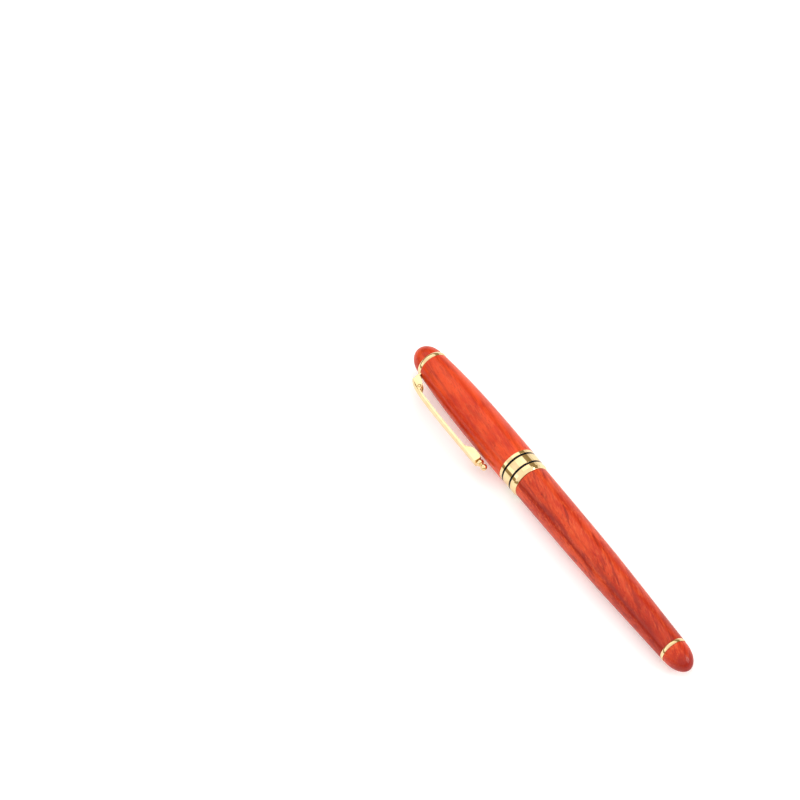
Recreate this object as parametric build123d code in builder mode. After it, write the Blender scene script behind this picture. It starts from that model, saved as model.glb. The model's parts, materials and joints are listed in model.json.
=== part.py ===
from build123d import *
import os
from math import cos, radians, sin

# A capped rollerball pen lying along X. The cap points to -X, the barrel to +X, and the
# origin is on the axis in the middle of the centre band. The clip stands out of the cap
# towards -Y. Millimetres. Stations along the pen are counted from the joint line, where
# the cap's mouth meets the barrel, and every sketch plane starts there.

os.makedirs("parts", exist_ok=True)

# Frame
joint_x = 4.45
side = Plane(origin=(joint_x, 0, 0))

# Outside
cap_tip = -61.25
cap_ring_rear = -54.55
cap_wood_rear = -53.1
band_rear = -7.72
tail_ring_front = 68.55
tail_ring_rear = 69.6
tail_tip = 76.5
cap_ring_r = 5.02
band_r = 6.04
band_lip_r = 5.70
barrel_mouth_r = 5.62
tail_ring_r = 4.12

# Wood outlines, as stations of (x, radius)
cap_outline = [(cap_wood_rear, 4.86), (-47.8, 5.27), (-36.8, 5.86), (-23.6, 6.12), (band_rear, 6.09)]
barrel_outline = [(0.15, barrel_mouth_r), (15.9, 5.49), (35.2, 5.22), (55.4, 4.52), (tail_ring_front, 4.04)]

# Band grooves
groove_x = [-joint_x - 1.86, -joint_x + 1.86]
groove_width = 0.62
groove_floor_r = 5.70
inlay_r = 6.015

# Gaps
glue = 0.03
running = 0.06

# Cap inside
cap_liner_r = 4.60
cap_bore_r = 4.35
cap_liner_rear = -45.9
cap_liner_front = -1.15
band_lip_bore_r = 4.42
small_bore_r = 3.63
small_bore_rear = -52.4
stud_r = 1.20

# Clip
clip_width = 3.0
clip_edge_round = 0.6
channel_width = 1.6
tang_width = 1.4
tang_neck_width = 2.4
pivot_x = -48.9
pivot_y = -7.65
rivet_r = 0.32
rivet_head_r = 0.50
clip_foot_x = -15.7
clip_ball_x = -13.1
clip_ball_y = -8.1
clip_ball_r = 1.05

# Section and refill
section_front = -37.0
section_rear = -3.4
nose_tip = -44.2
sleeve_r = 3.65
sleeve_bore_r = 3.28
thread_r = 3.95
thread_pitch = 1.0
thread_rear = 7.1
refill_r = 3.08
refill_shoulder = -32.5
refill_rear = 64.0
tip_r = 1.15
ball_r = 0.35
ball_x = -46.5

# Barrel inside
bushing_r = 4.75
bushing_rear = 8.5
barrel_liner_r = 3.70
barrel_liner_bore_r = 3.40
barrel_liner_rear = 60.0
tail_plug_r = 3.45
tail_plug_floor = 67.2

# Spring
spring_coil_r = 2.45
spring_wire_r = 0.22
spring_turns = 4.5


def turn(*outline, mode=Mode.ADD):
    """Revolve a closed outline of (x, radius) points about the pen's axis."""
    with BuildSketch(side) as face:
        with BuildLine():
            Polyline(*outline, close=True)
        make_face()
    revolve(face.sketch, axis=Axis.X, mode=mode)


def rod(x0, x1, r, mode=Mode.ADD):
    """A plain round bar along the axis, or a hole when subtracted."""
    turn((x0, 0), (x1, 0), (x1, r), (x0, r), mode=mode)


def tube(x0, x1, inner, outer, mode=Mode.ADD):
    """A plain tube along the axis."""
    turn((x0, inner), (x1, inner), (x1, outer), (x0, outer), mode=mode)


def turned_spline(stations):
    """A solid bar whose outline is one smooth curve through its stations."""
    first, last = stations[0], stations[-1]
    with BuildSketch(side) as face:
        with BuildLine():
            Spline(*stations)
            Polyline(last, (last[0], 0), (first[0], 0), first)
        make_face()
    revolve(face.sketch, axis=Axis.X)


def dome(base_x, tip_x, base_r):
    """Half an ellipsoid with its flat face at base_x."""
    height = tip_x - base_x
    start = 0 if height > 0 else 90
    with BuildSketch(side) as face:
        with BuildLine():
            EllipticalCenterArc((base_x, 0), abs(height), base_r, start_angle=start, arc_size=90)
            Polyline((base_x, base_r), (base_x, 0), (tip_x, 0))
        make_face()
    revolve(face.sketch, axis=Axis.X)


def rounded_ring(x0, x1, inner, edge_r, crown_r):
    """A trim ring with an outer face that bulges from edge_r to crown_r."""
    with BuildSketch(side) as face:
        with BuildLine():
            ThreePointArc((x0, edge_r), ((x0 + x1) / 2, crown_r), (x1, edge_r))
            Polyline((x1, edge_r), (x1, inner), (x0, inner), (x0, edge_r))
        make_face()
    revolve(face.sketch, axis=Axis.X)


def cross_bar(x, y, radius, half_length, mode=Mode.ADD):
    """A round pin across the clip, along Z."""
    with BuildSketch(side.offset(-half_length)) as face:
        with Locations((x, y)):
            Circle(radius)
    extrude(face.sketch, amount=2 * half_length, mode=mode)


# ---------------------------------------------------------------- cap

with BuildPart() as cap_tube:
    turned_spline(cap_outline)
    rod(cap_liner_rear - glue, band_rear + 1, cap_liner_r + glue, mode=Mode.SUBTRACT)
    rod(small_bore_rear, cap_liner_rear, small_bore_r, mode=Mode.SUBTRACT)
    rod(cap_wood_rear - 1, small_bore_rear, 4.10, mode=Mode.SUBTRACT)
    with Locations((joint_x - 52.75, -5.0, 0)):
        Box(0.9, 3.0, tang_neck_width + 0.2, mode=Mode.SUBTRACT)
cap_tube.part.label = "cap_tube"
export_step(cap_tube.part, "parts/cap_tube.step")

with BuildPart() as cap_liner:
    tube(cap_liner_rear, cap_liner_front, cap_bore_r, cap_liner_r)
cap_liner.part.label = "cap_liner"
export_step(cap_liner.part, "parts/cap_liner.step")

with BuildPart() as centre_band:
    turn((band_rear, cap_liner_r + glue), (-1.1, cap_liner_r + glue), (-1.1, band_lip_bore_r),
         (0, band_lip_bore_r), (0, band_lip_r - 0.2), (-0.15, band_lip_r), (-0.7, 5.97),
         (-1.2, band_r), (band_rear, band_r))
    for x in groove_x:
        tube(x - groove_width / 2, x + groove_width / 2, groove_floor_r, band_r + 1,
             mode=Mode.SUBTRACT)
centre_band.part.label = "centre_band"
export_step(centre_band.part, "parts/centre_band.step")

with BuildPart() as band_inlays:
    for x in groove_x:
        half = groove_width / 2 - 0.01
        tube(x - half, x + half, groove_floor_r + 0.01, inlay_r)
band_inlays.part.label = "band_inlays"
export_step(band_inlays.part, "parts/band_inlays.step")

with BuildPart() as inner_cap:
    turn((-50.3, 0), (-49.6, 0), (-49.6, 2.9), (-45.1, 2.9), (-45.1, 4.0), (-36.2, 4.0),
         (-35.8, 4.15), (-35.8, 4.32), (-45.85, 4.32), (-45.85, 3.60), (-50.3, 3.60))
inner_cap.part.label = "inner_cap"
export_step(inner_cap.part, "parts/inner_cap.step")

with BuildPart() as cap_nut:
    tube(small_bore_rear + glue, -50.35, stud_r + glue, small_bore_r - glue)
cap_nut.part.label = "cap_nut"
export_step(cap_nut.part, "parts/cap_nut.step")

with BuildPart() as cap_finial_ring:
    rounded_ring(cap_ring_rear + 0.02, cap_wood_rear - 0.02, stud_r + glue, 4.82, cap_ring_r)
cap_finial_ring.part.label = "cap_finial_ring"
export_step(cap_finial_ring.part, "parts/cap_finial_ring.step")

with BuildPart() as cap_finial:
    dome(cap_ring_rear, cap_tip, 4.64)
    rod(-58.6, cap_ring_rear + 1, stud_r + glue, mode=Mode.SUBTRACT)
cap_finial.part.label = "cap_finial"
export_step(cap_finial.part, "parts/cap_finial.step")

with BuildPart() as cap_finial_stud:
    rod(-58.5, -50.6, stud_r)
cap_finial_stud.part.label = "cap_finial_stud"
export_step(cap_finial_stud.part, "parts/cap_finial_stud.step")

# The washer under the finial ring and the bent tang that carries the clip's rivet.
tang_outline = [(-53.05, -6.0), (-52.45, -6.0), (-49.35, -7.1), (-48.9, -7.02), (-48.35, -7.4),
                (-48.35, -7.9), (-48.75, -8.25), (-49.1, -8.22), (-52.4, -6.8), (-53.05, -6.8)]
with BuildPart() as clip_mount:
    tube(-53.05, -52.45, stud_r + glue, 4.07)
    with Locations((joint_x - 52.75, -5.2, 0)):
        Box(0.6, 3.2, tang_neck_width)
    with BuildSketch(side.offset(-tang_width / 2)) as tang:
        with BuildLine():
            Polyline(*tang_outline, close=True)
        make_face()
    extrude(tang.sketch, amount=tang_width)
    cross_bar(pivot_x, pivot_y, rivet_r + 0.01, tang_width, mode=Mode.SUBTRACT)
clip_mount.part.label = "clip_mount"
export_step(clip_mount.part, "parts/clip_mount.step")

with BuildPart() as clip_rivet:
    cross_bar(pivot_x, pivot_y, rivet_r, clip_width / 2 + 0.1)
    for end in (-1, 1):
        with BuildSketch(side.offset(end * (clip_width / 2 + 0.09))) as head:
            with Locations((pivot_x, pivot_y)):
                Circle(rivet_head_r)
        extrude(head.sketch, amount=end * 0.2, taper=25)
clip_rivet.part.label = "clip_rivet"
export_step(clip_rivet.part, "parts/clip_rivet.step")

# ---------------------------------------------------------------- clip

clip_outer = [(-53.35, -7.55), (-52.4, -8.2), (-50.3, -8.95), (-45.5, -9.5), (-36.0, -9.8),
              (clip_foot_x, -9.72)]
clip_under = [(-22.6, -8.72), (-34.0, -8.78), (-46.8, -8.15)]
clip_head = [(-46.8, -8.15), (-48.2, -7.4), (-49.7, -6.35), (-51.4, -5.62), (-52.3, -5.4), (-52.3, -7.35),
             (-53.35, -7.3), (-53.35, -7.55)]
channel_outline = [(-52.6, -5.0), (-52.6, -7.35), (-52.2, -7.6), (-50.3, -8.42), (-48.7, -8.62),
                   (-47.9, -8.45), (-47.9, -6.0), (-48.5, -5.0)]

with BuildPart() as clip:
    with BuildSketch(side.offset(-clip_width / 2)) as side_view:
        with BuildLine():
            Spline(*clip_outer)
            Polyline((clip_foot_x, -9.72), (clip_foot_x, -6.95), (-19.3, -6.95))
            Spline((-19.3, -6.95), (-20.9, -7.75), (-22.6, -8.72), tangents=[(-1, 0), (-1, 0)])
            Spline(*clip_under)
            Polyline(*clip_head)
        make_face()
    extrude(side_view.sketch, amount=clip_width)
    long_edges = clip.edges().filter_by(lambda edge: edge.length > 36)
    outer_edges = long_edges.sort_by(Axis.Y)[:2]
    fillet(outer_edges, radius=clip_edge_round)
    with BuildSketch(side.offset(-channel_width / 2)) as channel:
        with BuildLine():
            Polyline(*channel_outline, close=True)
        make_face()
    extrude(channel.sketch, amount=channel_width, mode=Mode.SUBTRACT)
    cross_bar(pivot_x, pivot_y, rivet_r + running, clip_width, mode=Mode.SUBTRACT)
    with BuildSketch(Plane.YZ.offset(joint_x - 17.6)) as socket:
        with Locations((clip_ball_y, 0)):
            Circle(0.5 + 0.01)
    extrude(socket.sketch, amount=3, mode=Mode.SUBTRACT)
clip.part.label = "clip"
export_step(clip.part, "parts/clip.step")

# Turned tip: a spigot in the clip's foot, a collar, a neck and a ball.
collar_x = clip_foot_x + 0.7
neck_angle = radians(32)
neck_y = clip_ball_y - clip_ball_r * sin(neck_angle)
ball_start = (clip_ball_x - clip_ball_r * cos(neck_angle), neck_y)
with BuildPart() as clip_ball:
    with BuildSketch(side) as profile:
        with BuildLine():
            Polyline((clip_ball_x + clip_ball_r, clip_ball_y), (-17.5, clip_ball_y),
                     (-17.5, clip_ball_y - 0.5), (collar_x - 0.65, clip_ball_y - 0.5),
                     (collar_x - 0.65, clip_ball_y - 0.85))
            ThreePointArc((collar_x - 0.65, clip_ball_y - 0.85), (collar_x, clip_ball_y - 1.2),
                          (collar_x + 0.65, clip_ball_y - 0.85))
            Polyline((collar_x + 0.65, clip_ball_y - 0.85), (collar_x + 0.65, neck_y), ball_start)
            ThreePointArc(ball_start, (clip_ball_x, clip_ball_y - clip_ball_r),
                          (clip_ball_x + clip_ball_r, clip_ball_y))
        make_face()
    revolve(profile.sketch, axis=Axis((0, clip_ball_y, 0), (1, 0, 0)))
clip_ball.part.label = "clip_ball"
export_step(clip_ball.part, "parts/clip_ball.step")

# ---------------------------------------------------------------- barrel

with BuildPart() as barrel_tube:
    turned_spline(barrel_outline)
    rod(-1, bushing_rear + glue, bushing_r + glue, mode=Mode.SUBTRACT)
    rod(bushing_rear, barrel_liner_rear + glue, barrel_liner_r + glue, mode=Mode.SUBTRACT)
    rod(barrel_liner_rear, tail_ring_front + 1, tail_plug_r + glue, mode=Mode.SUBTRACT)
barrel_tube.part.label = "barrel_tube"
export_step(barrel_tube.part, "parts/barrel_tube.step")

with BuildPart() as barrel_liner:
    tube(bushing_rear + 0.05, barrel_liner_rear, barrel_liner_bore_r, barrel_liner_r)
barrel_liner.part.label = "barrel_liner"
export_step(barrel_liner.part, "parts/barrel_liner.step")

with BuildPart() as thread_bushing:
    turn((0.15, thread_r + running), (thread_rear + 0.4, thread_r + running),
         (thread_rear + 0.4, barrel_liner_bore_r), (bushing_rear, barrel_liner_bore_r),
         (bushing_rear, bushing_r), (0.15, bushing_r))
thread_bushing.part.label = "thread_bushing"
export_step(thread_bushing.part, "parts/thread_bushing.step")

with BuildPart() as tail_plug:
    turn((barrel_liner_rear + 0.05, 3.2), (tail_plug_floor, 3.2), (tail_plug_floor, stud_r + glue),
         (68.5, stud_r + glue), (68.5, tail_plug_r), (barrel_liner_rear + 0.05, tail_plug_r))
tail_plug.part.label = "tail_plug"
export_step(tail_plug.part, "parts/tail_plug.step")

with BuildPart() as tail_ring:
    rounded_ring(tail_ring_front + 0.02, tail_ring_rear - 0.02, stud_r + glue, 4.02, tail_ring_r)
tail_ring.part.label = "tail_ring"
export_step(tail_ring.part, "parts/tail_ring.step")

with BuildPart() as tail_finial:
    dome(tail_ring_rear, tail_tip, 3.94)
    rod(tail_ring_rear - 1, 73.1, stud_r + glue, mode=Mode.SUBTRACT)
tail_finial.part.label = "tail_finial"
export_step(tail_finial.part, "parts/tail_finial.step")

with BuildPart() as tail_stud:
    rod(67.3, 73.0, stud_r)
tail_stud.part.label = "tail_stud"
export_step(tail_stud.part, "parts/tail_stud.step")

# The spring sits squeezed between the refill's rear plug and the tail plug's floor.
spring_room = tail_plug_floor - refill_rear
spring_length = spring_room - 2 * spring_wire_r - 0.1
spring_start = refill_rear + 0.05 + spring_wire_r
with BuildPart() as refill_spring:
    with BuildLine() as coil:
        Helix(pitch=spring_length / spring_turns, height=spring_length, radius=spring_coil_r,
              center=(joint_x + spring_start, 0, 0), direction=(1, 0, 0))
    with BuildSketch(Plane(coil.line @ 0, z_dir=coil.line % 0)) as wire:
        Circle(spring_wire_r)
    sweep(wire.sketch, path=coil.line, is_frenet=True)
refill_spring.part.label = "refill_spring"
export_step(refill_spring.part, "parts/refill_spring.step")

# ---------------------------------------------------------------- section

with BuildPart() as section_sleeve:
    turn((-14.0, sleeve_bore_r), (thread_rear, sleeve_bore_r), (thread_rear, thread_r - 0.4),
         (thread_rear - 0.4, thread_r), (0.9, thread_r), (0.5, sleeve_r), (-14.0, sleeve_r))
    for number in range(6):
        x = 1.4 + number * thread_pitch
        turn((x - 0.25, thread_r + 0.1), (x, thread_r - 0.22), (x + 0.25, thread_r + 0.1),
             mode=Mode.SUBTRACT)
section_sleeve.part.label = "section_sleeve"
export_step(section_sleeve.part, "parts/section_sleeve.step")

with BuildPart() as section_ring:
    rounded_ring(-1.75, 0.1, sleeve_r + 0.02, 4.14, 4.22)
section_ring.part.label = "section_ring"
export_step(section_ring.part, "parts/section_ring.step")

grip_outline = [(section_rear, 4.15), (-12.0, 4.05), (-26.0, 3.72), (section_front, 3.70)]
with BuildPart() as grip_section:
    turned_spline(grip_outline)
    rod(-14.03, 0, sleeve_r + glue, mode=Mode.SUBTRACT)
    rod(refill_shoulder - 0.1, -14, 3.25, mode=Mode.SUBTRACT)
    rod(-34.4, refill_shoulder, 2.45, mode=Mode.SUBTRACT)
    rod(section_front - 1, -34.4, 3.0, mode=Mode.SUBTRACT)
grip_section.part.label = "grip_section"
export_step(grip_section.part, "parts/grip_section.step")

with BuildPart() as nose_cone:
    turn((-34.45, 2.4), (-40.2, 2.4), (-40.7, 1.3), (nose_tip, 1.3), (nose_tip, 1.65),
         (-43.9, 1.9), (-38.2, 3.62), (-37.6, 3.62), (-37.6, 3.45), (-37.3, 3.45), (-37.3, 3.66),
         (section_front - 0.02, 3.66), (section_front - 0.02, 2.97), (-34.45, 2.97))
nose_cone.part.label = "nose_cone"
export_step(nose_cone.part, "parts/nose_cone.step")

with BuildPart() as snap_ring:
    rounded_ring(-3.33, -1.82, sleeve_r + running, 4.18, 4.27)
snap_ring.part.label = "snap_ring"
export_step(snap_ring.part, "parts/snap_ring.step")

# ---------------------------------------------------------------- refill

with BuildPart() as refill_tube:
    turn((refill_shoulder, 2.2), (refill_shoulder, refill_r), (61.9, refill_r), (61.9, 2.85),
         (-31.5, 2.85), (-31.5, 2.2))
refill_tube.part.label = "refill_tube"
export_step(refill_tube.part, "parts/refill_tube.step")

with BuildPart() as refill_plug:
    turn((56.0, 0), (refill_rear, 0), (refill_rear, 2.9), (63.8, 3.05), (61.95, 3.05),
         (61.95, 2.82), (56.0, 2.82))
refill_plug.part.label = "refill_plug"
export_step(refill_plug.part, "parts/refill_plug.step")

with BuildPart() as ink_reservoir:
    tube(-28.0, 55.5, 0.55, 2.8)
ink_reservoir.part.label = "ink_reservoir"
export_step(ink_reservoir.part, "parts/ink_reservoir.step")

with BuildPart() as refill_holder:
    turn((-31.4, 0.55), (-28.4, 0.55), (-28.4, 2.8), (-31.4, 2.8))
    turn((-39.8, 0.55), (-31.4, 0.55), (-31.4, 2.17), (-39.3, 2.17), (-39.8, 1.9))
    rod(-40, -37.0, tip_r + 0.01, mode=Mode.SUBTRACT)
refill_holder.part.label = "refill_holder"
export_step(refill_holder.part, "parts/refill_holder.step")

with BuildPart() as refill_wick:
    rod(-43.2, -20.0, 0.5)
refill_wick.part.label = "refill_wick"
export_step(refill_wick.part, "parts/refill_wick.step")

with BuildPart() as refill_tip:
    turn((-37.05, 0), (-37.05, tip_r), (-45.0, tip_r), (-46.55, 0.36), (-46.62, 0.3), (-46.62, 0))
    rod(-43.3, -37, 0.53, mode=Mode.SUBTRACT)
    rod(-46.2, -43.2, 0.12, mode=Mode.SUBTRACT)
    with Locations((joint_x + ball_x, 0, 0)):
        Sphere(ball_r + 0.02, mode=Mode.SUBTRACT)
refill_tip.part.label = "refill_tip"
export_step(refill_tip.part, "parts/refill_tip.step")

with BuildPart() as writing_ball:
    with Locations((joint_x + ball_x, 0, 0)):
        Sphere(ball_r)
writing_ball.part.label = "writing_ball"
export_step(writing_ball.part, "parts/writing_ball.step")
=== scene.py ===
import json
from math import asin, cos, hypot, pi, radians, sin, tan

import bpy
import bmesh
import numpy as np
from mathutils import Matrix, Vector
from mathutils.geometry import delaunay_2d_cdt


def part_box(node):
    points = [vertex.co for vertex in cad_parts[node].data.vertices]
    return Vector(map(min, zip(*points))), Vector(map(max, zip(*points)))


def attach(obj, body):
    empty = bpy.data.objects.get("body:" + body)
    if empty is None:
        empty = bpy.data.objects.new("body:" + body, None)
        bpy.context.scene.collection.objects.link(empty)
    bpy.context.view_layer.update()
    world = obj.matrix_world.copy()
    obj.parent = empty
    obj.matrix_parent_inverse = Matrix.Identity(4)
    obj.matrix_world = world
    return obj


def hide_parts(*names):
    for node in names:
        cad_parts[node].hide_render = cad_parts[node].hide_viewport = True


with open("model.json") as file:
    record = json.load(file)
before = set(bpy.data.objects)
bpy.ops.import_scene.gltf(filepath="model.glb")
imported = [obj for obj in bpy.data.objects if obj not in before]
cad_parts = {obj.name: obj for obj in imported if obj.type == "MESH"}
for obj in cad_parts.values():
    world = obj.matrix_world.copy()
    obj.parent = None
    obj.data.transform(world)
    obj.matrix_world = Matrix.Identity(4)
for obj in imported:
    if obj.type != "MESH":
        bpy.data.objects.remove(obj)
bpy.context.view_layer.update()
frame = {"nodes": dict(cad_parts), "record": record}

# The pen in the CAD frame, in metres: it lies along X with the cap towards -X, and the clip
# stands out towards -Y. Outlines below are in millimetres and are turned into metres once,
# where a mesh is made. "r" is always a distance from the pen's axis.

scene = bpy.context.scene
MM = 0.001
PER_METRE = 1000  # millimetres
AROUND = 160  # corners round a turned piece, unless a call says otherwise
CREASE = 40  # degrees between two faces from which their shared edge is drawn sharp
GAP = 0.03  # play between a piece and what sits inside it


# ------------------------------------------------------------------ outlines


def span(node):
    """A node's first and last x, and its outer radius, in millimetres."""
    low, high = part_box(node)
    return low.x / MM, high.x / MM, high.y / MM


def spread(a, b, steps):
    """Evenly spaced numbers from a to b, both ends included."""
    return [a + (b - a) * k / steps for k in range(steps + 1)]


def outer_curve(node):
    """A node's outside radius as a smooth function of x, fitted to its outward faces."""
    outward, degree = 0.9, 7
    mesh = frame["nodes"][node].data
    x0, x1, _ = span(node)
    xs, rs = [], []
    for face in mesh.polygons:
        c = face.center
        r = hypot(c.y, c.z)
        if (face.normal.y * c.y + face.normal.z * c.z) / r > outward:
            for i in face.vertices:
                v = mesh.vertices[i].co
                xs.append(v.x / MM)
                rs.append(hypot(v.y, v.z) / MM)
    middle, half_length = (x0 + x1) / 2, (x1 - x0) / 2
    fit = np.polyfit((np.array(xs) - middle) / half_length, np.array(rs), degree)
    return lambda x: float(np.polyval(fit, (x - middle) / half_length))


def hermite(stations, x):
    """The height at x of a smooth curve through (x, height) stations in rising order."""
    last = len(stations) - 1
    slopes = []
    for i in range(last + 1):
        a, b = stations[max(i - 1, 0)], stations[min(i + 1, last)]
        slopes.append((b[1] - a[1]) / (b[0] - a[0]))
    i = 0
    while i < last - 1 and x > stations[i + 1][0]:
        i += 1
    (xa, ya), (xb, yb) = stations[i], stations[i + 1]
    h = xb - xa
    t = min(max((x - xa) / h, 0), 1)
    return (
        ya * (2 * t**3 - 3 * t**2 + 1)
        + slopes[i] * h * (t**3 - 2 * t**2 + t)
        + yb * (3 * t**2 - 2 * t**3)
        + slopes[i + 1] * h * (t**3 - t**2)
    )


def rounded(points, steps=5):
    """A closed outline in which each corner given as (a, b, radius) becomes a small arc. A
    short straight beside each arc keeps the shading of the flat faces flat."""
    most_of_side, guard_share = 0.42, 0.12
    out = []
    for i, p in enumerate(points):
        if len(p) < 3:
            out.append((p[0], p[1]))
            continue
        here = Vector(p[:2])
        back = Vector(points[i - 1][:2]) - here
        ahead = Vector(points[(i + 1) % len(points)][:2]) - here
        reach = min(
            p[2] / tan(back.angle(ahead) / 2),
            most_of_side * back.length,
            most_of_side * ahead.length,
        )
        a = here + back.normalized() * reach
        b = here + ahead.normalized() * reach
        guard = guard_share * reach
        out.append(tuple(a + back.normalized() * guard))
        for t in spread(0, 1, steps):
            out.append(tuple(a * (1 - t) ** 2 + here * (2 * t * (1 - t)) + b * t**2))
        out.append(tuple(b + ahead.normalized() * guard))
    return out


def ellipse_quarter(base, tip, r):
    """The outline of half an ellipsoid, from its rim at base to its tip on the axis."""
    angles = spread(0, pi / 2, 40)[:-1]
    return [(base + (tip - base) * sin(a), r * cos(a)) for a in angles] + [(tip, 0.0)]


def bow(x0, x1, edge, crown):
    """A ring's outside: an even bulge from edge to crown and back."""
    steps = 20
    return [
        (x, edge + (crown - edge) * (1 - (2 * k / steps - 1) ** 2))
        for k, x in enumerate(spread(x0, x1, steps))
    ]


def tube_outline(curve, x0, x1, steps, edge):
    """The outside of a tube from x0 to x1, with its two rims eased by edge."""
    angles = spread(0, pi / 2, 4)
    out = [(x0 + edge * (1 - cos(a)), curve(x0 + edge) - edge * (1 - sin(a))) for a in angles]
    out += [(x, curve(x)) for x in spread(x0 + edge, x1 - edge, steps)[1:-1]]
    for a in reversed(angles):
        out.append((x1 - edge * (1 - cos(a)), curve(x1 - edge) - edge * (1 - sin(a))))
    return out


# ------------------------------------------------------------------ meshes


def new_piece(name, bm, crease=CREASE):
    """An object in metres from a bmesh in millimetres, which is used up."""
    bmesh.ops.remove_doubles(bm, verts=bm.verts, dist=1e-5)
    bmesh.ops.recalc_face_normals(bm, faces=bm.faces)
    if bm.calc_volume(signed=True) < 0:
        bmesh.ops.reverse_faces(bm, faces=bm.faces)
    bmesh.ops.scale(bm, vec=(MM, MM, MM), verts=bm.verts)
    mesh = bpy.data.meshes.new(name)
    bm.to_mesh(mesh)
    bm.free()
    piece = bpy.data.objects.new(name, mesh)
    scene.collection.objects.link(piece)
    shade(mesh, crease)
    return piece


def shade(mesh, crease):
    mesh.shade_smooth()
    mesh.set_sharp_from_angle(angle=radians(crease))


def place(piece, node, body, material):
    """The finished piece rides its body in place of its node."""
    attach(piece, body)
    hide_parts(node)
    piece.data.materials.clear()
    piece.data.materials.append(material)


def turned(outlines, axis_y=0.0, shape=None, around=AROUND):
    """Closed (x, r) outlines revolved about a line along X, as a bmesh in millimetres. shape
    may change a corner's r, given its x, its r and its angle round the line."""
    bm = bmesh.new()
    for outline in outlines:
        rings = []
        for x, r in outline:
            if r < 1e-6:
                rings.append([bm.verts.new((x, axis_y, 0))])
                continue
            ring = []
            for k in range(around):
                a = 2 * pi * k / around
                s = shape(x, r, a) if shape else r
                ring.append(bm.verts.new((x, axis_y + s * cos(a), s * sin(a))))
            rings.append(ring)
        for i in range(len(rings)):
            a, b = rings[i - 1], rings[i]
            for k in range(around):
                j = (k + 1) % around
                if len(a) == 1 and len(b) == 1:
                    break
                if len(a) == 1:
                    bm.faces.new((a[0], b[k], b[j]))
                elif len(b) == 1:
                    bm.faces.new((a[k], a[j], b[0]))
                else:
                    bm.faces.new((a[k], a[j], b[j], b[k]))
    return bm


def slab(outline, half_width, edge, slices):
    """An (x, y) outline made solid across the pen, with its long edges rounded by edge. A
    point's third number is how far the face drops there from its middle to its sides."""
    flat = half_width - edge
    stations = [(z, 0.0) for z in spread(-flat, flat, slices - 1)]
    for a in spread(0, pi / 2, 4)[1:]:
        stations.append((flat + edge * sin(a), edge * (1 - cos(a))))
        stations.insert(0, (-flat - edge * sin(a), edge * (1 - cos(a))))
    area = sum(
        outline[i - 1][0] * outline[i][1] - outline[i][0] * outline[i - 1][1]
        for i in range(len(outline))
    )
    turn = 1 if area > 0 else -1
    bm = bmesh.new()
    rings = []
    for z, inset in stations:
        points = []
        for p in outline:
            drop = p[2] * (z / half_width) ** 2 if len(p) > 2 else 0.0
            points.append(Vector((p[0], p[1] + drop)))
        ring = []
        for i, here in enumerate(points):
            ahead = (points[(i + 1) % len(points)] - here).normalized()
            along = (here - points[i - 1]).normalized() + ahead
            if along.length < 1e-6:
                along = ahead
            along.normalize()
            p = here + Vector((-along.y, along.x)) * turn * inset
            ring.append(bm.verts.new((p.x, p.y, z)))
        rings.append(ring)
    for a, b in zip(rings, rings[1:]):
        for i in range(len(a)):
            j = (i + 1) % len(a)
            bm.faces.new((a[i], a[j], b[j], b[i]))
    rim = [Vector((v.co.x, v.co.y)) for v in rings[0]]
    whole = [list(range(len(rim)))]
    _, _, triangles, origins, _, _ = delaunay_2d_cdt(rim, [], whole, 1, 1e-7)
    for ring in (rings[0], rings[-1]):
        for corners in triangles:
            bm.faces.new([ring[origins[c][0]] for c in corners])
    return bm


def apply_modifiers(piece):
    seen = piece.evaluated_get(bpy.context.evaluated_depsgraph_get())
    mesh = bpy.data.meshes.new_from_object(seen)
    piece.modifiers.clear()
    piece.data = mesh
    return mesh


def carve(piece, tool, operation="DIFFERENCE"):
    """Cuts tool out of piece, or joins it on, and leaves a plain mesh."""
    cut = piece.modifiers.new("cut", "BOOLEAN")
    cut.object, cut.operation, cut.solver = tool, operation, "EXACT"
    mesh = apply_modifiers(piece)
    bpy.data.objects.remove(tool)
    bm = bmesh.new()
    bm.from_mesh(mesh)
    # The boolean leaves slivers a fraction of a micrometre long. These are metres.
    bmesh.ops.remove_doubles(bm, verts=bm.verts, dist=2e-7)
    bmesh.ops.dissolve_degenerate(bm, dist=1e-7, edges=bm.edges)
    bm.to_mesh(mesh)
    bm.free()
    shade(mesh, CREASE)


def even_shading(piece):
    """Keeps flat faces flat in the shading beside their rounded edges."""
    piece.modifiers.new("even", "WEIGHTED_NORMAL").keep_sharp = True
    apply_modifiers(piece)


# ------------------------------------------------------------------ materials


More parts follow.
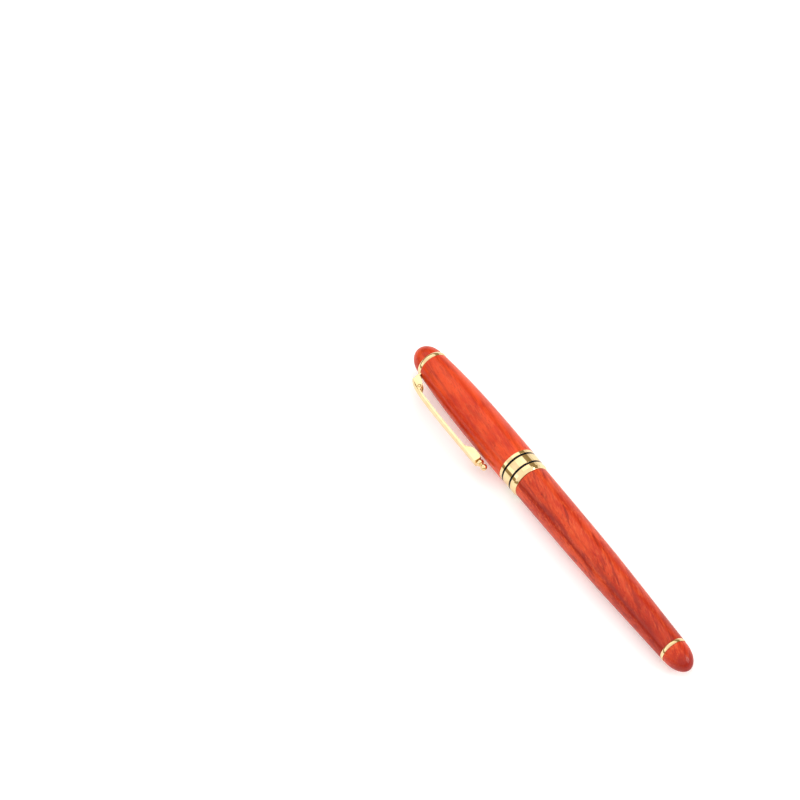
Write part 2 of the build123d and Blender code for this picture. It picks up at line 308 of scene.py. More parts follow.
class Shader:
    """A node material built by short calls, with coordinates in millimetres."""

    def __init__(self, name):
        self.material = bpy.data.materials.new(name)
        self.material.use_nodes = True
        self.tree = self.material.node_tree
        self.surface = self.tree.nodes["Principled BSDF"]

    def node(self, kind, **settings):
        n = self.tree.nodes.new("ShaderNode" + kind)
        for key, value in settings.items():
            setattr(n, key, value)
        return n

    def feed(self, socket, value):
        if isinstance(value, bpy.types.NodeSocket):
            self.tree.links.new(value, socket)
        else:
            socket.default_value = value

    def coords(self, scale=(1, 1, 1), turn=(0, 0, 0), shift=(0, 0, 0), source=None):
        """The place on the object, or source, turned, stretched and shifted."""
        m = self.node("Mapping")
        if source is None:
            source = self.node("TexCoord").outputs["Object"]
            scale = tuple(PER_METRE * s for s in scale)
        self.feed(m.inputs["Vector"], source)
        m.inputs["Scale"].default_value = scale
        m.inputs["Rotation"].default_value = tuple(radians(t) for t in turn)
        m.inputs["Location"].default_value = shift
        return m.outputs["Vector"]

    def split(self, vector):
        n = self.node("SeparateXYZ")
        self.feed(n.inputs[0], vector)
        return n.outputs

    def noise(self, where, scale=1.0, detail=3.0, rough=0.5, twist=0.0, line=False):
        """Noise over a place or, with line, over a single number."""
        n = self.node("TexNoise", noise_dimensions="1D" if line else "3D")
        self.feed(n.inputs["W" if line else "Vector"], where)
        n.inputs["Scale"].default_value = scale
        n.inputs["Detail"].default_value = detail
        n.inputs["Roughness"].default_value = rough
        n.inputs["Distortion"].default_value = twist
        return n.outputs["Fac"]

    def maths(self, operation, *values):
        n = self.node("Math", operation=operation)
        for socket, value in zip(n.inputs, values):
            self.feed(socket, value)
        return n.outputs[0]

    def plus(self, a, b):
        return self.maths("ADD", a, b)

    def minus(self, a, b):
        return self.maths("SUBTRACT", a, b)

    def times(self, a, b):
        return self.maths("MULTIPLY", a, b)

    def between(self, value, low, high, out_low=0.0, out_high=1.0):
        n = self.node("MapRange", interpolation_type="SMOOTHSTEP")
        for socket, v in zip(n.inputs, (value, low, high, out_low, out_high)):
            self.feed(socket, v)
        return n.outputs["Result"]

    def blend(self, amount, first, second):
        n = self.node("Mix", data_type="RGBA")
        self.feed(n.inputs["Factor"], amount)
        self.feed(n.inputs[6], first)
        self.feed(n.inputs[7], second)
        return n.outputs[2]

    def bump(self, height, depth, strength):
        n = self.node("Bump")
        self.feed(n.inputs["Height"], height)
        n.inputs["Distance"].default_value = depth * MM
        n.inputs["Strength"].default_value = strength
        self.feed(self.surface.inputs["Normal"], n.outputs["Normal"])

    def set(self, **sockets):
        for key, value in sockets.items():
            self.feed(self.surface.inputs[key.replace("_", " ")], value)


def rgb(r, g, b):
    return (r, g, b, 1.0)


def rosewood(name, shift, slant=18, lean=7, figure=1.0, tone=1.0, heart=None, deepen=None):
    """Orange-red rosewood under thin satin lacquer: dark growth streaks, smudged dark strokes
    that slant across the axis, paler flecks and short open pores. slant and lean turn the
    grain off the axis, figure says how strong the pattern is, and tone how light the wood is.
    heart is the angle round the axis of a long dark streak, and deepen is where along x the
    wood turns darker: from, to, how much."""
    s = Shader(name)
    fine = s.coords(turn=(0, 4, slant), shift=shift)
    broad = s.coords(turn=(0, 3, lean), shift=shift)

    def grained(grain, scale, shift=(0, 0, 0), **settings):
        return s.noise(s.coords(scale, source=grain, shift=shift), **settings)

    slow = grained(broad, (0.07, 0.26, 0.26), detail=3, twist=0.4)
    warp = grained(broad, (0.06, 0.25, 0.25), (7, 3, 1), detail=2)
    patches = grained(broad, (0.045, 0.16, 0.16), (2, 9, 5), detail=2)
    thick = grained(broad, (0.09, 0.34, 0.34), (8, 1, 3), detail=2)
    fibre = grained(fine, (0.30, 2.6, 2.6), detail=4, rough=0.65)
    stroke = grained(fine, (0.085, 0.85, 0.85), (6, 2, 9), detail=4, rough=0.58, twist=0.15)
    fleck = grained(fine, (0.34, 1.5, 1.5), (1, 5, 8), detail=3, twist=0.6)
    pore = grained(fine, (0.55, 5.2, 5.2), (3, 0, 4), detail=2, rough=0.6)
    gather = grained(fine, (0.10, 0.5, 0.5), (4, 4, 0), detail=2)

    # Growth rings are bands of distance from a pith that lies outside the piece.
    at = s.split(broad)
    pith_y, pith_z = s.plus(at["Y"], 13.0), s.plus(at["Z"], 9.0)
    from_pith = s.maths("SQRT", s.plus(s.times(pith_y, pith_y), s.times(pith_z, pith_z)))
    from_pith = s.plus(from_pith, s.times(warp, 3.2))
    rings = s.noise(from_pith, scale=0.42, detail=4, rough=0.62, line=True)

    red = rgb(0.64 * tone, 0.060 * tone, 0.015)
    deep_red = rgb(0.48 * tone, 0.027 * tone, 0.007)
    colour = s.blend(s.between(slow, 0.36, 0.64), red, deep_red)
    light = s.between(fibre, 0.46, 0.74, 0.0, 0.55 * figure + 0.15)
    colour = s.blend(light, colour, rgb(0.74, 0.102, 0.027))
    flecks = s.between(fleck, 0.52, 0.70, 0.0, 0.60 * figure)
    colour = s.blend(flecks, colour, rgb(0.72, 0.118, 0.034))

    dark = s.times(s.between(rings, 0.50, 0.64), s.between(patches, 0.42, 0.58, 0.10, 1.0))
    dark = s.times(dark, s.between(fibre, 0.30, 0.62, 1.0, 0.55))
    colour = s.blend(s.times(dark, 0.80 * figure), colour, rgb(0.27, 0.014, 0.008))
    strokes = s.times(s.between(stroke, 0.49, 0.62), s.between(thick, 0.40, 0.60, 0.25, 1.0))
    colour = s.blend(s.times(strokes, 0.72 * figure), colour, rgb(0.27, 0.013, 0.006))

    here = s.split(s.coords())
    if heart:
        # A wavering sheet of dark wood that holds the axis and comes out at this angle.
        across_y = s.times(here["Y"], -sin(radians(heart)))
        across_z = s.times(here["Z"], cos(radians(heart)))
        layer = s.plus(s.plus(across_y, across_z), s.times(s.minus(warp, 0.5), 4.5))
        layer = s.plus(layer, s.times(s.minus(fibre, 0.5), 3.2))
        near = s.between(s.maths("ABSOLUTE", layer), 0.05, 1.70, 1.0, 0.0)
        streak = s.times(near, s.between(slow, 0.30, 0.55, 0.45, 1.0))
        colour = s.blend(s.times(streak, 0.70), colour, rgb(0.24, 0.011, 0.006))
    if deepen:
        start, stop, amount = deepen
        shade_at = s.plus(here["X"], s.times(slow, 6.0))
        shaded = s.between(shade_at, start, stop, 0.0, amount)
        colour = s.blend(shaded, colour, rgb(0.27, 0.014, 0.009))
    pores = s.times(s.between(pore, 0.58, 0.68), s.between(gather, 0.38, 0.62, 0.25, 1.0))
    colour = s.blend(s.times(pores, 0.35 + 0.35 * figure), colour, rgb(0.18, 0.010, 0.006))

    polish = s.plus(s.between(fibre, 0.3, 0.7, 0.38, 0.50), s.times(pores, 0.12))
    s.set(Base_Color=colour, Roughness=polish, Specular_IOR_Level=0.04)
    s.set(Coat_Weight=0.32, Coat_Roughness=0.15, Coat_IOR=1.5)
    s.bump(s.minus(s.times(fibre, 0.25), pores), 0.012, 0.6)
    return s.material


def polished_metal(name, pale, deep, roughness, line_depth):
    """Plated metal, buffed on the lathe: faint turning lines round the axis and a slow
    change in tone and polish. roughness is its lowest and highest value."""
    s = Shader(name)
    tone = s.noise(s.coords((0.35, 0.35, 0.35)), detail=3)
    hairs = s.noise(s.coords((14, 0.35, 0.35)), detail=3, rough=0.6)
    smudge = s.noise(s.coords((0.8, 0.8, 0.8), shift=(3, 1, 2)), detail=4, rough=0.6)
    buffed = s.between(smudge, 0.3, 0.75, *roughness)
    s.set(Base_Color=s.blend(s.between(tone, 0.35, 0.65), pale, deep), Metallic=1.0)
    s.set(Roughness=s.plus(buffed, s.between(hairs, 0.62, 0.8, 0.0, 0.06)))
    s.bump(hairs, line_depth, 0.5)
    return s.material


def brushed_steel(name):
    s = Shader(name)
    drawn = s.noise(s.coords((0.25, 9, 9)), detail=4, rough=0.6)
    s.set(Base_Color=s.blend(drawn, rgb(0.50, 0.50, 0.52), rgb(0.68, 0.68, 0.70)), Metallic=1.0)
    s.set(Roughness=s.between(drawn, 0.3, 0.7, 0.20, 0.36))
    s.bump(drawn, 0.004, 0.5)
    return s.material


def gloss_black(name, base, rough, shine, coat):
    """Black enamel or moulded resin, with faint orange peel and the odd duller spot."""
    s = Shader(name)
    peel = s.noise(s.coords((1.4, 1.4, 1.4)), detail=3)
    wipe = s.noise(s.coords((0.5, 0.9, 0.9), shift=(5, 2, 0)), detail=4, rough=0.65)
    low = rgb(base * 0.7, base * 0.7, base * 0.75)
    high = rgb(base * 1.4, base * 1.3, base * 1.3)
    s.set(Base_Color=s.blend(peel, low, high), Specular_IOR_Level=shine)
    s.set(Roughness=s.between(wipe, 0.35, 0.7, rough, rough + 0.12))
    s.set(Coat_Weight=coat, Coat_Roughness=0.05)
    s.bump(peel, 0.003, 0.4)
    return s.material


def moulded_plastic(name):
    s = Shader(name)
    flow = s.noise(s.coords((0.3, 0.6, 0.6)), detail=3)
    grit = s.noise(s.coords((9, 9, 9)), detail=2)
    s.set(Base_Color=s.blend(flow, rgb(0.74, 0.73, 0.69), rgb(0.86, 0.85, 0.81)))
    s.set(Roughness=s.between(grit, 0.3, 0.7, 0.36, 0.52))
    s.bump(grit, 0.004, 0.5)
    return s.material


def ink_felt(name):
    s = Shader(name)
    strand = s.noise(s.coords((0.5, 12, 12)), detail=5, rough=0.7)
    s.set(Base_Color=s.blend(strand, rgb(0.010, 0.012, 0.060), rgb(0.06, 0.07, 0.24)))
    s.set(Roughness=s.between(strand, 0.3, 0.7, 0.75, 0.95))
    s.bump(strand, 0.03, 0.8)
    return s.material


def carbide(name):
    s = Shader(name)
    pits = s.noise(s.coords((30, 30, 30)), detail=4, rough=0.7)
    s.set(Base_Color=s.blend(pits, rgb(0.40, 0.40, 0.42), rgb(0.60, 0.60, 0.62)), Metallic=1.0)
    s.set(Roughness=s.between(pits, 0.35, 0.7, 0.10, 0.28))
    return s.material


gold = polished_metal(
    "polished_gold", rgb(0.83, 0.63, 0.35), rgb(0.75, 0.55, 0.28), (0.05, 0.11), 0.0004
)
brass = polished_metal(
    "turned_brass", rgb(0.76, 0.58, 0.27), rgb(0.62, 0.45, 0.19), (0.18, 0.30), 0.0015
)
enamel = gloss_black("enamel_gloss", 0.002, 0.12, shine=0.12, coat=0.0)
resin = gloss_black("resin_gloss", 0.005, 0.16, shine=0.5, coat=0.25)
plastic = moulded_plastic("natural_plastic")
steel = brushed_steel("drawn_steel")
felt = ink_felt("inked_felt")
tungsten = carbide("polished_carbide")
cap_wood = rosewood("rosewood_cap", (0, 0, 0), slant=9, lean=5, figure=0.5, tone=1.16)
barrel_wood = rosewood("rosewood_barrel", (31, 4, 2), heart=131, deepen=(25, 82, 0.42))
cap_end_wood = rosewood("rosewood_cap_end", (-12, 6, 3), slant=9, lean=5, figure=0.6, tone=1.10)
tail_end_wood = rosewood(
    "rosewood_tail_end", (60, -8, -3), slant=24, lean=20, deepen=(79.0, 84.0, 0.95)
)

# The CAD pieces that stay on show take their slot's material.
by_slot = {
    "gold_plate": gold, "brass": brass, "black_enamel": enamel, "black_resin": resin,
    "white_plastic": plastic, "refill_steel": steel, "ink_fibre": felt, "carbide": tungsten,
    "rosewood": barrel_wood,
}
for part in frame["record"]["subparts"]:
    for slot in frame["nodes"][part["node"]].material_slots:
        slot.material = by_slot[part["material_slot"]]

# ------------------------------------------------------------------ wood

cap_x0, cap_x1, _ = span("cap_tube")
cap_curve = outer_curve("cap_tube")
barrel_x0, barrel_x1, _ = span("barrel_tube")
barrel_curve = outer_curve("barrel_tube")

liner_x0, _, liner_r = span("cap_liner")
nut_x0, _, nut_r = span("cap_nut")
end_hole_r = 4.1
cap = new_piece("wood_cap", turned([
    tube_outline(cap_curve, cap_x0, cap_x1, 90, 0.08) + [
        (cap_x1, liner_r + GAP),
        (liner_x0 - GAP, liner_r + GAP),
        (liner_x0 - GAP, nut_r + GAP),
        (nut_x0 - GAP, nut_r + GAP),
        (nut_x0 - GAP, end_hole_r),
        (cap_x0, end_hole_r),
    ]
]))
# A notch in the cap's end lets the clip's mount out.
notch_x1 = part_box("clip_mount")[0].x / MM + 0.9
notch = rounded([
    (cap_x0 - 1, -6.6), (notch_x1, -6.6, 0.15), (notch_x1, -3.6, 0.15), (cap_x0 - 1, -3.6)
])
carve(cap, new_piece("notch", slab(notch, 1.3, 0.08, slices=3)))
place(cap, "cap_tube", "cap", cap_wood)

_, bush_x1, bush_r = span("thread_bushing")
_, _, inner_r = span("barrel_liner")
plug_x0, _, plug_r = span("tail_plug")
barrel = new_piece("wood_barrel", turned([
    tube_outline(barrel_curve, barrel_x0, barrel_x1, 130, 0.10) + [
        (barrel_x1, plug_r + GAP),
        (plug_x0 - 0.05, plug_r + GAP),
        (plug_x0 - 0.05, inner_r + GAP),
        (bush_x1 + GAP, inner_r + GAP),
        (bush_x1 + GAP, bush_r + GAP),
        (barrel_x0, bush_r + GAP),
    ]
]))
place(barrel, "barrel_tube", "barrel", barrel_wood)


def domed_end(name, rim_x, tip_x, r, hole_x, hole_r):
    """Half an ellipsoid with an eased rim and a blind hole as far as hole_x."""
    ease = 0.06
    base = rim_x + (ease if tip_x > rim_x else -ease)
    hole = [(hole_x, 0.0), (hole_x, hole_r), (rim_x, hole_r), (rim_x, r - ease)]
    return new_piece(name, turned([ellipse_quarter(base, tip_x, r) + hole]))


end_x0, end_x1, end_r = span("cap_finial")
stud_x0, _, stud_r = span("cap_finial_stud")
stud_bore = stud_r + GAP
finial = domed_end("wood_cap_end", end_x1, end_x0, end_r, stud_x0 - 0.1, stud_bore)
place(finial, "cap_finial", "cap", cap_end_wood)

end_x0, end_x1, end_r = span("tail_finial")
_, tail_stud_x1, tail_stud_r = span("tail_stud")
tail_stud_bore = tail_stud_r + GAP
finial = domed_end("wood_tail_end", end_x0, end_x1, end_r, tail_stud_x1 + 0.1, tail_stud_bore)
place(finial, "tail_finial", "barrel", tail_end_wood)

# ------------------------------------------------------------------ gold trim

band_x0, band_x1, band_r = span("centre_band")
inlay_x0, inlay_x1, inlay_r = span("band_inlays")
GROOVE_WIDTH, GROOVE_FLOOR, SIDE_PLAY = 0.72, band_r - 0.34, 0.01
grooves = [
    (inlay_x0 - SIDE_PLAY, inlay_x0 - SIDE_PLAY + GROOVE_WIDTH),
    (inlay_x1 + SIDE_PLAY - GROOVE_WIDTH, inlay_x1 + SIDE_PLAY),
]
outline = [(band_x0, liner_r + GAP), (band_x0, band_r, 0.06)]
for a, b in grooves:
    outline += [
        (a, band_r, 0.05), (a, GROOVE_FLOOR, 0.03), (b, GROOVE_FLOOR, 0.03), (b, band_r, 0.05)
    ]
# The lip rolls in to a mouth a little narrower than the liner.
outline += [
    (band_x1 - 1.0, band_r, 0.13),
    (band_x1 - 0.52, band_r - 0.19, 0.30),
    (band_x1 - 0.04, band_r - 0.47, 0.16),
    (band_x1, band_r - 0.70, 0.12),
    (band_x1, liner_r - 0.18, 0.06),
    (band_x1 - 1.1, liner_r - 0.18),
    (band_x1 - 1.1, liner_r + GAP),
]
band = new_piece("band", turned([rounded(outline)]))
place(band, "centre_band", "cap", gold)

inlays = new_piece("band_lines", turned([
    rounded([
        (a + SIDE_PLAY, GROOVE_FLOOR + 0.01),
        (a + SIDE_PLAY, inlay_r, 0.05),
        (b - SIDE_PLAY, inlay_r, 0.05),
        (b - SIDE_PLAY, GROOVE_FLOOR + 0.01),
    ])
    for a, b in grooves
]))
place(inlays, "band_inlays", "cap", enamel)


def bowed_ring(name, node, drop, bore, ease=0.0):
    """A ring for a node: it bulges by drop outside, and ease bevels its bore's rims."""
    x0, x1, r = span(node)
    if ease:
        inside = [(x1, bore + ease), (x1 - ease, bore), (x0 + ease, bore), (x0, bore + ease)]
    else:
        inside = [(x1, bore), (x0, bore)]
    return new_piece(name, turned([bow(x0, x1, r - drop, r) + inside]), crease=50)


ring = bowed_ring("cap_ring", "cap_finial_ring", 0.2, stud_bore)
place(ring, "cap_finial_ring", "cap", gold)
ring = bowed_ring("tail_end_ring", "tail_ring", 0.1, tail_stud_bore)
place(ring, "tail_ring", "barrel", gold)

# ------------------------------------------------------------------ clip

low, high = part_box("clip")
foot_x, head_x = high.x / MM, low.x / MM
cheek_y, half = high.y / MM, high.z / MM
low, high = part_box("clip_rivet")
pivot_x, pivot_y = (low.x + high.x) / 2 / MM, (low.y + high.y) / 2 / MM
rivet_r = (high.x - low.x) / 2 / MM
rivet_end = high.z / MM

# These curves run back from the foot: distance back, and distance from the pen's axis.
outer = [
    (0, 9.72), (8, 9.76), (20.3, 9.775), (29.8, 9.49), (34.6, 8.95), (36.7, 8.2), (37.65, 7.55)
]
under = [(6.9, 8.68), (18.3, 8.66), (26, 8.48), (32.0, 8.28)]
foot_curve = [(3.6, 6.95), (4.3, 7.12), (5.2, 7.78), (6.1, 8.47), (6.9, 8.68)]
cheek_edge = [(32.0, 8.28), (32.35, 7.55), (33.0, 6.80), (34.2, 6.05), (35.7, 5.60)]
cheek_stations = (35.1, 34.7, 34.3, 33.9, 33.5, 33.2, 32.95, 32.7, 32.5, 32.35, 32.22, 32.1)
# And this one says how far the outer face drops from its middle to its sides.
sides = [
    (0, 0.26), (8, 0.28), (20, 0.36), (28, 0.46), (31.6, 0.62), (34, 0.80), (35.6, 0.70),
    (36.6, 0.40), (37.4, 0.03), (37.65, 0.0),
]

outline = [(foot_x - d, -hermite(outer, d), hermite(sides, d)) for d in spread(1.3, 36.7, 71)]
outline += rounded([
    (foot_x - 36.75, -8.13),
    (head_x + 0.62, -7.55, 0.24),
    (head_x + 1.05, -7.15, 0.15),
    (head_x + 1.05, cheek_y, 0.25),
    (head_x + 1.95, cheek_y - 0.2),
], steps=4)[1:]
for curve, stations in (
    (cheek_edge, cheek_stations),
    (under, spread(32.0, 6.9, 24)),
    (foot_curve, spread(6.9, 3.6, 14)[1:]),
):
    outline += [(foot_x - d, -hermite(curve, d)) for d in stations]
foot = rounded([
    (foot_x - 2.3, -6.95), (foot_x, -6.95, 0.95), (foot_x, -9.72, 0.52), (foot_x - 1.3, -9.72)
], steps=8)[:-1]
# The foot's end takes up the outer face's drop and loses it within 1.82 mm.
outline += [(x, y, 0.265 * max(0.0, (-7.9 - y) / 1.82)) for x, y in foot]
clip = new_piece("pocket_clip", slab(outline, half, 0.045, 21))

# The head is hollow, so that it holds the mount's tang between two cheeks.
channel = rounded([
    (head_x + 0.75, -4.6), (head_x + 0.75, -7.35), (head_x + 1.15, -7.6),
    (head_x + 3.05, -8.38), (head_x + 4.6, -8.56), (head_x + 5.45, -8.40),
    (head_x + 5.45, -6.0), (head_x + 4.8, -4.6),
])
carve(clip, new_piece("channel", slab(channel, 0.8, 0.04, slices=3)))


def across(profile):
    """A closed (z, r) outline turned about the clip's pivot, which runs across the pen."""
    bm = turned([profile], around=48)
    for v in bm.verts:
        x, y, z = v.co
        v.co = (pivot_x + y, pivot_y + z, x)
    return bm


# The pin's hole opens into a shallow round well on each cheek.
well_r, well_depth, hole_r, clear = rivet_r + 0.12, 0.34, 0.38, half + 1
well = [
    (clear, well_r),
    (half - 0.30, well_r),
    (half - well_depth, well_r - 0.05),
    (half - well_depth, hole_r),
]
pivot_hole = [(-clear, 0), (clear, 0)] + well + [(-z, r) for z, r in reversed(well)]
carve(clip, new_piece("pivot_hole", across(pivot_hole)))
even_shading(clip)
place(clip, "clip", "clip", gold)

head_depth, shank_r = 0.32, 0.32
pin_end = [
    (rivet_end - 0.24 * (1 - cos(a)), rivet_r * sin(a)) for a in spread(0, pi / 2, 8)
] + [(half - head_depth, rivet_r), (half - head_depth, shank_r)]
profile = pin_end + [(-z, r) for z, r in reversed(pin_end)]
rivet = new_piece("clip_pin", across(profile))
place(rivet, "clip_rivet", "cap", gold)

# The clip's tip: a collar and a ball on one axis, held in the foot by a spigot.
low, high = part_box("clip_ball")
spigot_x, tip_x = low.x / MM, high.x / MM
tip_axis_y, spigot_r, neck_r = -8.1, 0.5, 0.56
collar_x0, collar_x1 = foot_x + 0.03, foot_x + 1.32
collar_edge, collar_crown = 0.86, 1.2
knob_r = 1.05
knob_x = tip_x - knob_r
profile = [(spigot_x, 0), (spigot_x, spigot_r), (collar_x0, spigot_r), (collar_x0, collar_edge)]
for t in spread(0, 1, 16)[1:-1]:
    bulge = (1 - (2 * t - 1) ** 2) ** 0.7
    profile.append((
        collar_x0 + (collar_x1 - collar_x0) * t,
        collar_edge + (collar_crown - collar_edge) * bulge,
    ))
profile += [(collar_x1, collar_edge), (collar_x1 + 0.02, neck_r)]
for a in spread(pi - asin(neck_r / knob_r), 0, 22)[:-1]:
    profile.append((knob_x + knob_r * cos(a), knob_r * sin(a)))
profile.append((tip_x, 0))
tip = new_piece("clip_tip", turned([profile], axis_y=tip_axis_y, around=72))
place(tip, "clip_ball", "clip", gold)

# The clip's mount: a washer over the cap's end with a tang that runs out through the notch.
low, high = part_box("clip_mount")
washer_x0, tang_x1, washer_r = low.x / MM, high.x / MM, high.z / MM
washer_x1 = washer_x0 + 0.6
washer = rounded([
    (washer_x0, stud_bore), (washer_x0, washer_r, 0.12),
    (washer_x1, washer_r, 0.12), (washer_x1, stud_bore),
])
mount = new_piece("clip_mount_plate", turned([washer]))
neck = rounded([
    (washer_x0 + 0.01, -3.4), (washer_x0 + 0.01, -6.78, 0.2),
    (washer_x1 - 0.01, -6.78, 0.2), (washer_x1 - 0.01, -3.4),
])
carve(mount, new_piece("neck", slab(neck, 1.2, 0.10, slices=5)), "UNION")
tang = rounded([
    (washer_x0 + 0.02, -6.0),
    (washer_x1, -6.02, 0.3),
    (tang_x1 - 1.0, -7.12, 0.3),
    (tang_x1 - 0.55, -7.05, 0.2),
    (tang_x1 - 0.01, -7.40, 0.2),
    (tang_x1 - 0.01, -7.9, 0.25),
    (tang_x1 - 0.4, -8.24, 0.25),
    (tang_x1 - 0.75, -8.21, 0.25),
    (washer_x1, -6.82, 0.3),
    (washer_x0 + 0.02, -6.76, 0.2),
], steps=4)
carve(mount, new_piece("tang", slab(tang, 0.69, 0.08, slices=5)), "UNION")
cross_hole = [(-2, 0), (2, 0), (2, shank_r + 0.02), (-2, shank_r + 0.02)]
carve(mount, new_piece("cross_hole", across(cross_hole)))
place(mount, "clip_mount", "cap", gold)

# ------------------------------------------------------------------ writing end

sleeve_x0, sleeve_x1, crest_r = span("section_sleeve")
ROOT_R, BORE_R, PITCH, THREAD_LENGTH = 3.65, 3.28, 1.0, 6.6
thread_x0 = sleeve_x1 - THREAD_LENGTH


def thread(x, r, angle):
    """The sleeve's outside with a right-handed thread that runs out at both of its ends."""
    if r < ROOT_R - 0.01 or x < thread_x0:
        return r
    root_share, flank_share, crest_play = 0.12, 0.70, 0.003
    part_of_turn = (x / PITCH - angle / (2 * pi)) % 1.0
    rise = min(max((abs(part_of_turn - 0.5) * 2 - root_share) / flank_share, 0.0), 1.0)
    rise = rise * rise * (3 - 2 * rise)
    run_out = min((x - thread_x0) / 0.9, (sleeve_x1 - x) / 0.5 + 0.12, 1.0)
    return ROOT_R + (crest_r - crest_play - ROOT_R) * rise * max(run_out, 0.0)


outline = [
    (sleeve_x0, BORE_R), (sleeve_x0, ROOT_R - 0.06), (sleeve_x0 + 0.06, ROOT_R),
    (thread_x0 - 0.1, ROOT_R),
]
outline += [(x, ROOT_R) for x in spread(thread_x0, sleeve_x1 - 0.02, 132)]
outline += rounded([
    (sleeve_x1, ROOT_R - 0.08), (sleeve_x1, BORE_R, 0.08), (sleeve_x1 - 1.5, BORE_R)
])
sleeve = new_piece("section_threads", turned([outline], shape=thread, around=128), crease=65)
place(sleeve, "section_sleeve", "section", brass)

ring = bowed_ring("section_collar", "section_ring", 0.077, ROOT_R + 0.02)
place(ring, "section_ring", "section", gold)
ring = bowed_ring("snap_collar", "snap_ring", 0.086, ROOT_R + 0.06, ease=0.07)
place(ring, "snap_ring", "snap_ring", plastic)

grip_x0, grip_x1, _ = span("grip_section")
shoulder_x, _, refill_r = span("refill_tube")
nose_x0, nose_x1, nose_r = span("nose_cone")
refill_bore, throat_r, nose_seat_r = refill_r + 0.17, 2.45, 3.0
grip = new_piece("grip", turned([
    tube_outline(outer_curve("grip_section"), grip_x0, grip_x1, 70, 0.14) + [
        (grip_x1, ROOT_R + GAP),
        (sleeve_x0 - GAP, ROOT_R + GAP),
        (sleeve_x0 - GAP, refill_bore),
        (shoulder_x - 0.1, refill_bore),
        (shoulder_x - 0.1, throat_r),
        (nose_x1 + 0.05, throat_r),
        (nose_x1 + 0.05, nose_seat_r),
        (grip_x0, nose_seat_r),
    ]
]))
place(grip, "grip_section", "section", resin)

# The nose: a bevelled mouth, the cone, a small step and a groove in front of the grip.
step_x, back_x = grip_x0 - 0.6, grip_x0 - 0.02
mouth_r, nose_bore, nose_spigot_r = 1.3, 2.4, 2.97
nose = new_piece("nose", turned([rounded([
    (nose_x0, mouth_r, 0.05),
    (nose_x0, 1.62, 0.10),
    (nose_x0 + 0.30, 1.88, 0.25),
    (step_x - 1.8, nose_r - 0.43, 1.0),
    (step_x - 0.6, nose_r - 0.04, 0.12),
    (step_x, nose_r - 0.04, 0.06),
    (step_x, nose_r - 0.2, 0.04),
    (step_x + 0.28, nose_r - 0.2, 0.04),
    (step_x + 0.28, nose_r, 0.05),
    (back_x, nose_r, 0.04),
    (back_x, nose_spigot_r),
    (nose_x1, nose_spigot_r),
    (nose_x1, nose_bore),
    (nose_x0 + 4.0, nose_bore),
    (nose_x0 + 3.5, mouth_r),
])]), crease=30)
place(nose, "nose_cone", "section", gold)

# The refill's point closes round its ball with a little play, and feeds it from behind.
tip_x0, tip_x1, tip_r = span("refill_tip")
low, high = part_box("writing_ball")
ball_x, socket_r = (low.x + high.x) / 2 / MM, (high.x - low.x) / 2 / MM + 0.02
feed_r, wick_r = 0.12, 0.53
outline = [(tip_x1, wick_r)] + rounded([
    (tip_x1, tip_r, 0.08),
    (ball_x + 1.5, tip_r, 0.3),
    (tip_x0 + 0.004, 0.405, 0.02),
    (tip_x0 + 0.004, 0.376),
], steps=6)
outline += [
    (ball_x + socket_r * cos(a), socket_r * sin(a)) for a in spread(pi - 1.50, 0.34, 14)
]
outline += [(ball_x + 0.4, feed_r), (ball_x + 3.3, feed_r), (ball_x + 3.3, wick_r)]
point = new_piece("refill_point", turned([outline], around=96), crease=35)
place(point, "refill_tip", "refill", gold)

# ------------------------------------------------------------------ studio

# The pen lies on its swell and on the barrel, so the table slopes from one to the other.
cap_points = [(x, cap_curve(x)) for x in np.linspace(cap_x0, cap_x1, 60)]
barrel_points = [(x, barrel_curve(x)) for x in np.linspace(barrel_x0, barrel_x1, 90)]
swell = max(cap_points, key=lambda p: p[1])
rest = max(barrel_points, key=lambda p: (p[1] - swell[1]) / (p[0] - swell[0]))
fall = (rest[1] - swell[1]) / (rest[0] - swell[0])


def floor_z(x):
    """The table's height in metres at x in millimetres, a hair below the pen."""
    return -(swell[1] + fall * (x - swell[0])) * MM - 0.00002


reach = 30.0  # wide enough that no low view sees past the table
corners = [
    (x, y, floor_z(x / MM))
    for x, y in ((-reach, -reach), (reach, -reach), (reach, reach), (-reach, reach))
]
floor_mesh = bpy.data.meshes.new("table_top")
floor_mesh.from_pydata(corners, [], [(0, 1, 2, 3)])
table_top = bpy.data.objects.new("table_top", floor_mesh)
scene.collection.objects.link(table_top)
paper = Shader("pale_floor")
mottle = paper.noise(paper.coords((0.02, 0.02, 0.02)), detail=2)
paper.set(
    Base_Color=paper.blend(mottle, rgb(0.95, 0.95, 0.95), rgb(0.98, 0.98, 0.98)),
    Roughness=0.75, Emission_Color=rgb(1, 1, 1), Emission_Strength=0.14,
)
table_top.data.materials.append(paper.material)


def softbox(name, where, size, power):
    """A rectangular lamp that faces the frame's origin."""
    light = bpy.data.lights.new(name, "AREA")
    light.shape, light.size, light.size_y = "RECTANGLE", size[0], size[1]
    light.energy = power
    lamp = bpy.data.objects.new(name, light)
    scene.collection.objects.link(lamp)
    lamp.location = where
    lamp.rotation_euler = (-Vector(where)).to_track_quat("-Z", "Y").to_euler()
    lamp.visible_camera = False


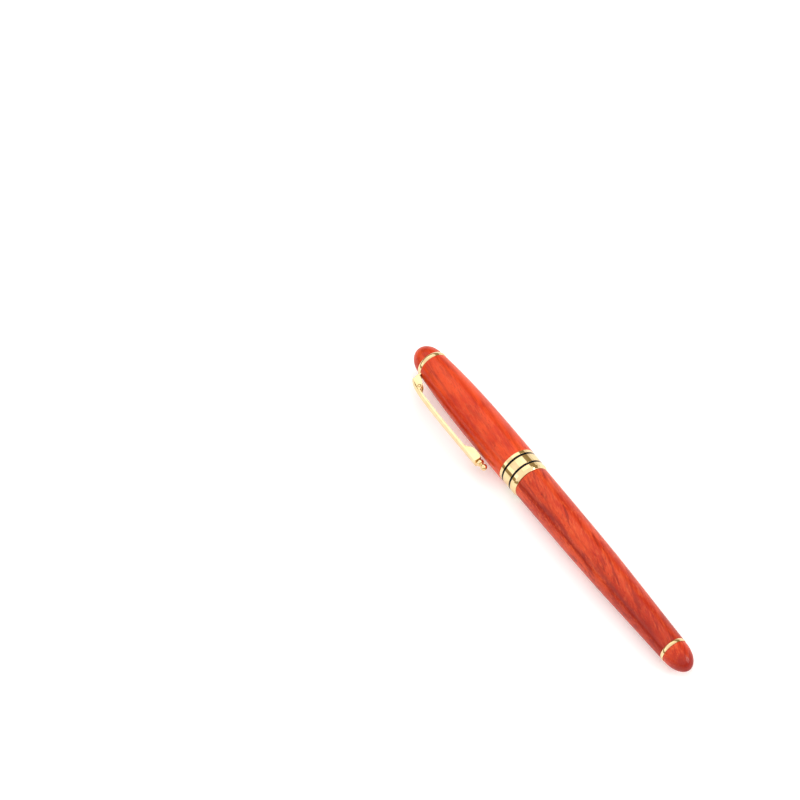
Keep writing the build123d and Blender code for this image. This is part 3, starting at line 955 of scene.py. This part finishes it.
softbox("key", (-0.62, 0.24, 0.90), (0.80, 0.80), 0.9)
softbox("left_fill", (-0.30, -0.95, 0.55), (0.7, 0.4), 0.5)
softbox("right_fill", (0.80, 0.75, 0.60), (0.8, 0.6), 8.0)

# A light tent round the pen: white overhead, with a dim warm belt low down that gives the
# gold its darker bands.
world = bpy.data.worlds.new("studio")
scene.world = world
world.use_nodes = True
tree = world.node_tree
coords = tree.nodes.new("ShaderNodeTexCoord")
tilt = tree.nodes.new("ShaderNodeMapping")
tilt.inputs["Rotation"].default_value = (radians(-15), 0, 0)
split = tree.nodes.new("ShaderNodeSeparateXYZ")
ramp = tree.nodes.new("ShaderNodeValToRGB")
tree.links.new(coords.outputs["Generated"], tilt.inputs["Vector"])
tree.links.new(tilt.outputs["Vector"], split.inputs[0])
tree.links.new(split.outputs["Z"], ramp.inputs["Fac"])
tree.links.new(ramp.outputs["Color"], tree.nodes["Background"].inputs["Color"])
ramp.color_ramp.interpolation = "EASE"
stops = ramp.color_ramp.elements
stops[0].position, stops[0].color = 0.0, rgb(0.85, 0.85, 0.85)
stops[1].position, stops[1].color = 1.0, rgb(1, 1, 1)
stops.new(0.03).color = rgb(0.40, 0.33, 0.20)
stops.new(0.10).color = rgb(0.28, 0.225, 0.13)
stops.new(0.45).color = rgb(0.34, 0.28, 0.165)
stops.new(0.53).color = rgb(1, 1, 1)
tree.nodes["Background"].inputs["Strength"].default_value = 1.27

camera_data = bpy.data.cameras.new("camera")
camera_data.sensor_width = 36.0
camera_data.lens = 99.0
camera_data.clip_start = 0.01
camera = bpy.data.objects.new("camera", camera_data)
scene.collection.objects.link(camera)
camera.location = (0.3270, -0.1545, 0.5308)
# The camera's own axes, as unit vectors in the CAD frame.
right = Vector((0.5259, 0.8376, -0.1477))
up = Vector((-0.6396, 0.5039, 0.5805))
back = Vector((0.5607, -0.2108, 0.8008))
camera.rotation_euler = Matrix((right, up, back)).transposed().to_euler()
scene.camera = camera
scene.view_settings.view_transform = "Standard"
